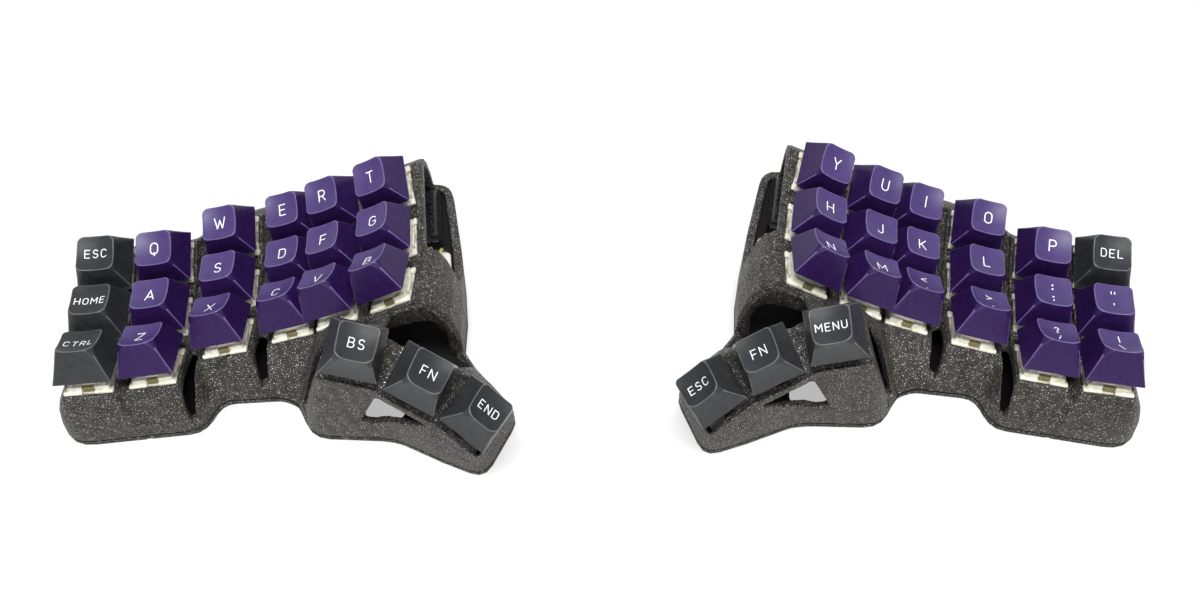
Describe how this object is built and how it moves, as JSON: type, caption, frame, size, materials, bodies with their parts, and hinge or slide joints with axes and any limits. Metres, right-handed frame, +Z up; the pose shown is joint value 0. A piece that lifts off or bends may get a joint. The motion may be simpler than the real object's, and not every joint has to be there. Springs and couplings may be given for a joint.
{
  "type": "ergonomic split keyboard",
  "caption": "Split keyboard: two separate mirrored halves, each a tented open-sided case with curved columns of tall dished keycaps, a stepped thumb cluster and a base plate on rubber feet.",
  "frame": {"origin": "middle of the box round both halves, on the table", "axes": "+X from the left half to the right half, +Y away from the typist, +Z up"},
  "size_m": [0.3812, 0.1279, 0.0633],
  "materials": {
    "case": "printed plastic with fine metallic flecks and faint layer lines",
    "purple_keycap": "smooth moulded plastic with a fine grain in the dish",
    "charcoal_keycap": "smooth moulded plastic with a fine grain in the dish",
    "milky_housing": "milky moulded plastic",
    "circuit_board": "black solder mask",
    "black_plastic": "black moulded plastic",
    "metal": "plain steel",
    "brass": "turned brass",
    "rubber": "black rubber",
    "wire": "wire insulation"
  },
  "bodies": {
    "frame": {"left_case": "case", "left_base_plate": "case", "left_switch_hoods": "milky_housing", "left_switch_bodies": "milky_housing", "left_controller_board": "circuit_board", "right_case": "case", "right_base_plate": "case", "right_switch_hoods": "milky_housing", "right_switch_bodies": "milky_housing", "right_controller_board": "circuit_board", "switch_boards": "circuit_board", "controller_trays": "case", "cable_sockets": "metal", "link_jacks": "black_plastic", "base_screws": "metal", "threaded_inserts": "brass", "rubber_feet": "rubber", "jumper_wires": "wire"},
    "left_inner_top_key": {"left_inner_top_keycap": "purple_keycap"},
    "left_inner_home_key": {"left_inner_home_keycap": "purple_keycap"},
    "left_inner_bottom_key": {"left_inner_bottom_keycap": "purple_keycap"},
    "left_index_top_key": {"left_index_top_keycap": "purple_keycap"},
    "left_index_home_key": {"left_index_home_keycap": "purple_keycap"},
    "left_index_bottom_key": {"left_index_bottom_keycap": "purple_keycap"},
    "left_middle_top_key": {"left_middle_top_keycap": "purple_keycap"},
    "left_middle_home_key": {"left_middle_home_keycap": "purple_keycap"},
    "left_middle_bottom_key": {"left_middle_bottom_keycap": "purple_keycap"},
    "left_ring_top_key": {"left_ring_top_keycap": "purple_keycap"},
    "left_ring_home_key": {"left_ring_home_keycap": "purple_keycap"},
    "left_ring_bottom_key": {"left_ring_bottom_keycap": "purple_keycap"},
    "left_pinky_top_key": {"left_pinky_top_keycap": "purple_keycap"},
    "left_pinky_home_key": {"left_pinky_home_keycap": "purple_keycap"},
    "left_pinky_bottom_key": {"left_pinky_bottom_keycap": "purple_keycap"},
    "left_outer_top_key": {"left_outer_top_keycap": "charcoal_keycap"},
    "left_outer_home_key": {"left_outer_home_keycap": "charcoal_keycap"},
    "left_outer_bottom_key": {"left_outer_bottom_keycap": "charcoal_keycap"},
    "left_thumb_palm_key": {"left_thumb_palm_keycap": "charcoal_keycap"},
    "left_thumb_middle_key": {"left_thumb_middle_keycap": "charcoal_keycap"},
    "left_thumb_tip_key": {"left_thumb_tip_keycap": "charcoal_keycap"},
    "right_inner_top_key": {"right_inner_top_keycap": "purple_keycap"},
    "right_inner_home_key": {"right_inner_home_keycap": "purple_keycap"},
    "right_inner_bottom_key": {"right_inner_bottom_keycap": "purple_keycap"},
    "right_index_top_key": {"right_index_top_keycap": "purple_keycap"},
    "right_index_home_key": {"right_index_home_keycap": "purple_keycap"},
    "right_index_bottom_key": {"right_index_bottom_keycap": "purple_keycap"},
    "right_middle_top_key": {"right_middle_top_keycap": "purple_keycap"},
    "right_middle_home_key": {"right_middle_home_keycap": "purple_keycap"},
    "right_middle_bottom_key": {"right_middle_bottom_keycap": "purple_keycap"},
    "right_ring_top_key": {"right_ring_top_keycap": "purple_keycap"},
    "right_ring_home_key": {"right_ring_home_keycap": "purple_keycap"},
    "right_ring_bottom_key": {"right_ring_bottom_keycap": "purple_keycap"},
    "right_pinky_top_key": {"right_pinky_top_keycap": "purple_keycap"},
    "right_pinky_home_key": {"right_pinky_home_keycap": "purple_keycap"},
    "right_pinky_bottom_key": {"right_pinky_bottom_keycap": "purple_keycap"},
    "right_outer_top_key": {"right_outer_top_keycap": "charcoal_keycap"},
    "right_outer_home_key": {"right_outer_home_keycap": "purple_keycap"},
    "right_outer_bottom_key": {"right_outer_bottom_keycap": "purple_keycap"},
    "right_thumb_palm_key": {"right_thumb_palm_keycap": "charcoal_keycap"},
    "right_thumb_middle_key": {"right_thumb_middle_keycap": "charcoal_keycap"},
    "right_thumb_tip_key": {"right_thumb_tip_keycap": "charcoal_keycap"}
  },
  "joints": [
    {"name": "left_inner_top_press", "type": "slide", "parent": "frame", "child": "left_inner_top_key", "axis": [0.3904, 0.2476, -0.8867], "range_m": [0, 0.004], "stiffness_N_per_m": 80, "springref_m": -0.005},
    {"name": "left_inner_home_press", "type": "slide", "parent": "frame", "child": "left_inner_home_key", "axis": [0.4213, 0.0154, -0.9068], "range_m": [0, 0.004], "stiffness_N_per_m": 80, "springref_m": -0.005},
    {"name": "left_inner_bottom_press", "type": "slide", "parent": "frame", "child": "left_inner_bottom_key", "axis": [0.4289, -0.2176, -0.8767], "range_m": [0, 0.004], "stiffness_N_per_m": 80, "springref_m": -0.005},
    {"name": "left_index_top_press", "type": "slide", "parent": "frame", "child": "left_index_top_key", "axis": [0.3055, 0.2397, -0.9215], "range_m": [0, 0.004], "stiffness_N_per_m": 80, "springref_m": -0.005},
    {"name": "left_index_home_press", "type": "slide", "parent": "frame", "child": "left_index_home_key", "axis": [0.3345, 0.0074, -0.9424], "range_m": [0, 0.004], "stiffness_N_per_m": 80, "springref_m": -0.005},
    {"name": "left_index_bottom_press", "type": "slide", "parent": "frame", "child": "left_index_bottom_key", "axis": [0.345, -0.2254, -0.9112], "range_m": [0, 0.004], "stiffness_N_per_m": 80, "springref_m": -0.005},
    {"name": "left_middle_top_press", "type": "slide", "parent": "frame", "child": "left_middle_top_key", "axis": [0.2177, 0.2316, -0.9481], "range_m": [0, 0.004], "stiffness_N_per_m": 80, "springref_m": -0.005},
    {"name": "left_middle_home_press", "type": "slide", "parent": "frame", "child": "left_middle_home_key", "axis": [0.2447, -0.001, -0.9696], "range_m": [0, 0.004], "stiffness_N_per_m": 80, "springref_m": -0.005},
    {"name": "left_middle_bottom_press", "type": "slide", "parent": "frame", "child": "left_middle_bottom_key", "axis": [0.2581, -0.2334, -0.9375], "range_m": [0, 0.004], "stiffness_N_per_m": 80, "springref_m": -0.005},
    {"name": "left_ring_top_press", "type": "slide", "parent": "frame", "child": "left_ring_top_key", "axis": [0.1278, 0.2232, -0.9664], "range_m": [0, 0.004], "stiffness_N_per_m": 80, "springref_m": -0.005},
    {"name": "left_ring_home_press", "type": "slide", "parent": "frame", "child": "left_ring_home_key", "axis": [0.1527, -0.0095, -0.9882], "range_m": [0, 0.004], "stiffness_N_per_m": 80, "springref_m": -0.005},
    {"name": "left_ring_bottom_press", "type": "slide", "parent": "frame", "child": "left_ring_bottom_key", "axis": [0.1693, -0.2417, -0.9555], "range_m": [0, 0.004], "stiffness_N_per_m": 80, "springref_m": -0.005},
    {"name": "left_pinky_top_press", "type": "slide", "parent": "frame", "child": "left_pinky_top_key", "axis": [0.0366, 0.2148, -0.976], "range_m": [0, 0.004], "stiffness_N_per_m": 80, "springref_m": -0.005},
    {"name": "left_pinky_home_press", "type": "slide", "parent": "frame", "child": "left_pinky_home_key", "axis": [0.0595, -0.0181, -0.9981], "range_m": [0, 0.004], "stiffness_N_per_m": 80, "springref_m": -0.005},
    {"name": "left_pinky_bottom_press", "type": "slide", "parent": "frame", "child": "left_pinky_bottom_key", "axis": [0.0791, -0.2501, -0.965], "range_m": [0, 0.004], "stiffness_N_per_m": 80, "springref_m": -0.005},
    {"name": "left_outer_top_press", "type": "slide", "parent": "frame", "child": "left_outer_top_key", "axis": [-0.0551, 0.2063, -0.9769], "range_m": [0, 0.004], "stiffness_N_per_m": 80, "springref_m": -0.005},
    {"name": "left_outer_home_press", "type": "slide", "parent": "frame", "child": "left_outer_home_key", "axis": [-0.0343, -0.0268, -0.9991], "range_m": [0, 0.004], "stiffness_N_per_m": 80, "springref_m": -0.005},
    {"name": "left_outer_bottom_press", "type": "slide", "parent": "frame", "child": "left_outer_bottom_key", "axis": [-0.0116, -0.2585, -0.966], "range_m": [0, 0.004], "stiffness_N_per_m": 80, "springref_m": -0.005},
    {"name": "left_thumb_palm_press", "type": "slide", "parent": "frame", "child": "left_thumb_palm_key", "axis": [-0.293, 0.295, -0.9095], "range_m": [0, 0.004], "stiffness_N_per_m": 80, "springref_m": -0.005},
    {"name": "left_thumb_middle_press", "type": "slide", "parent": "frame", "child": "left_thumb_middle_key", "axis": [-0.3918, 0.2832, -0.8754], "range_m": [0, 0.004], "stiffness_N_per_m": 80, "springref_m": -0.005},
    {"name": "left_thumb_tip_press", "type": "slide", "parent": "frame", "child": "left_thumb_tip_key", "axis": [-0.4659, 0.2821, -0.8387], "range_m": [0, 0.004], "stiffness_N_per_m": 80, "springref_m": -0.005},
    {"name": "right_inner_top_press", "type": "slide", "parent": "frame", "child": "right_inner_top_key", "axis": [-0.3604, 0.2896, -0.8867], "range_m": [0, 0.004], "stiffness_N_per_m": 80, "springref_m": -0.005},
    {"name": "right_inner_home_press", "type": "slide", "parent": "frame", "child": "right_inner_home_key", "axis": [-0.417, 0.0623, -0.9068], "range_m": [0, 0.004], "stiffness_N_per_m": 80, "springref_m": -0.005},
    {"name": "right_inner_bottom_press", "type": "slide", "parent": "frame", "child": "right_inner_bottom_key", "axis": [-0.4505, -0.1684, -0.8767], "range_m": [0, 0.004], "stiffness_N_per_m": 80, "springref_m": -0.005},
    {"name": "right_index_top_press", "type": "slide", "parent": "frame", "child": "right_index_top_key", "axis": [-0.2769, 0.2723, -0.9215], "range_m": [0, 0.004], "stiffness_N_per_m": 80, "springref_m": -0.005},
    {"name": "right_index_home_press", "type": "slide", "parent": "frame", "child": "right_index_home_key", "axis": [-0.3316, 0.0446, -0.9424], "range_m": [0, 0.004], "stiffness_N_per_m": 80, "springref_m": -0.005},
    {"name": "right_index_bottom_press", "type": "slide", "parent": "frame", "child": "right_index_bottom_key", "axis": [-0.3679, -0.1855, -0.9112], "range_m": [0, 0.004], "stiffness_N_per_m": 80, "springref_m": -0.005},
    {"name": "right_middle_top_press", "type": "slide", "parent": "frame", "child": "right_middle_top_key", "axis": [-0.1905, 0.2544, -0.9481], "range_m": [0, 0.004], "stiffness_N_per_m": 80, "springref_m": -0.005},
    {"name": "right_middle_home_press", "type": "slide", "parent": "frame", "child": "right_middle_home_key", "axis": [-0.2433, 0.0263, -0.9696], "range_m": [0, 0.004], "stiffness_N_per_m": 80, "springref_m": -0.005},
    {"name": "right_middle_bottom_press", "type": "slide", "parent": "frame", "child": "right_middle_bottom_key", "axis": [-0.2826, -0.2032, -0.9375], "range_m": [0, 0.004], "stiffness_N_per_m": 80, "springref_m": -0.005},
    {"name": "right_ring_top_press", "type": "slide", "parent": "frame", "child": "right_ring_top_key", "axis": [-0.1021, 0.2361, -0.9664], "range_m": [0, 0.004], "stiffness_N_per_m": 80, "springref_m": -0.005},
    {"name": "right_ring_home_press", "type": "slide", "parent": "frame", "child": "right_ring_home_key", "axis": [-0.1529, 0.0076, -0.9882], "range_m": [0, 0.004], "stiffness_N_per_m": 80, "springref_m": -0.005},
    {"name": "right_ring_bottom_press", "type": "slide", "parent": "frame", "child": "right_ring_bottom_key", "axis": [-0.1951, -0.2213, -0.9555], "range_m": [0, 0.004], "stiffness_N_per_m": 80, "springref_m": -0.005},
    {"name": "right_pinky_top_press", "type": "slide", "parent": "frame", "child": "right_pinky_top_key", "axis": [-0.0124, 0.2175, -0.976], "range_m": [0, 0.004], "stiffness_N_per_m": 80, "springref_m": -0.005},
    {"name": "right_pinky_home_press", "type": "slide", "parent": "frame", "child": "right_pinky_home_key", "axis": [-0.0611, -0.0114, -0.9981], "range_m": [0, 0.004], "stiffness_N_per_m": 80, "springref_m": -0.005},
    {"name": "right_pinky_bottom_press", "type": "slide", "parent": "frame", "child": "right_pinky_bottom_key", "axis": [-0.1065, -0.2397, -0.965], "range_m": [0, 0.004], "stiffness_N_per_m": 80, "springref_m": -0.005},
    {"name": "right_outer_top_press", "type": "slide", "parent": "frame", "child": "right_outer_top_key", "axis": [0.0778, 0.1988, -0.9769], "range_m": [0, 0.004], "stiffness_N_per_m": 80, "springref_m": -0.005},
    {"name": "right_outer_home_press", "type": "slide", "parent": "frame", "child": "right_outer_home_key", "axis": [0.0311, -0.0305, -0.9991], "range_m": [0, 0.004], "stiffness_N_per_m": 80, "springref_m": -0.005},
    {"name": "right_outer_bottom_press", "type": "slide", "parent": "frame", "child": "right_outer_bottom_key", "axis": [-0.0173, -0.2581, -0.966], "range_m": [0, 0.004], "stiffness_N_per_m": 80, "springref_m": -0.005},
    {"name": "right_thumb_palm_press", "type": "slide", "parent": "frame", "child": "right_thumb_palm_key", "axis": [0.324, 0.2605, -0.9095], "range_m": [0, 0.004], "stiffness_N_per_m": 80, "springref_m": -0.005},
    {"name": "right_thumb_middle_press", "type": "slide", "parent": "frame", "child": "right_thumb_middle_key", "axis": [0.4209, 0.2378, -0.8754], "range_m": [0, 0.004], "stiffness_N_per_m": 80, "springref_m": -0.005},
    {"name": "right_thumb_tip_press", "type": "slide", "parent": "frame", "child": "right_thumb_tip_key", "axis": [0.4944, 0.2284, -0.8387], "range_m": [0, 0.004], "stiffness_N_per_m": 80, "springref_m": -0.005}
  ]
}
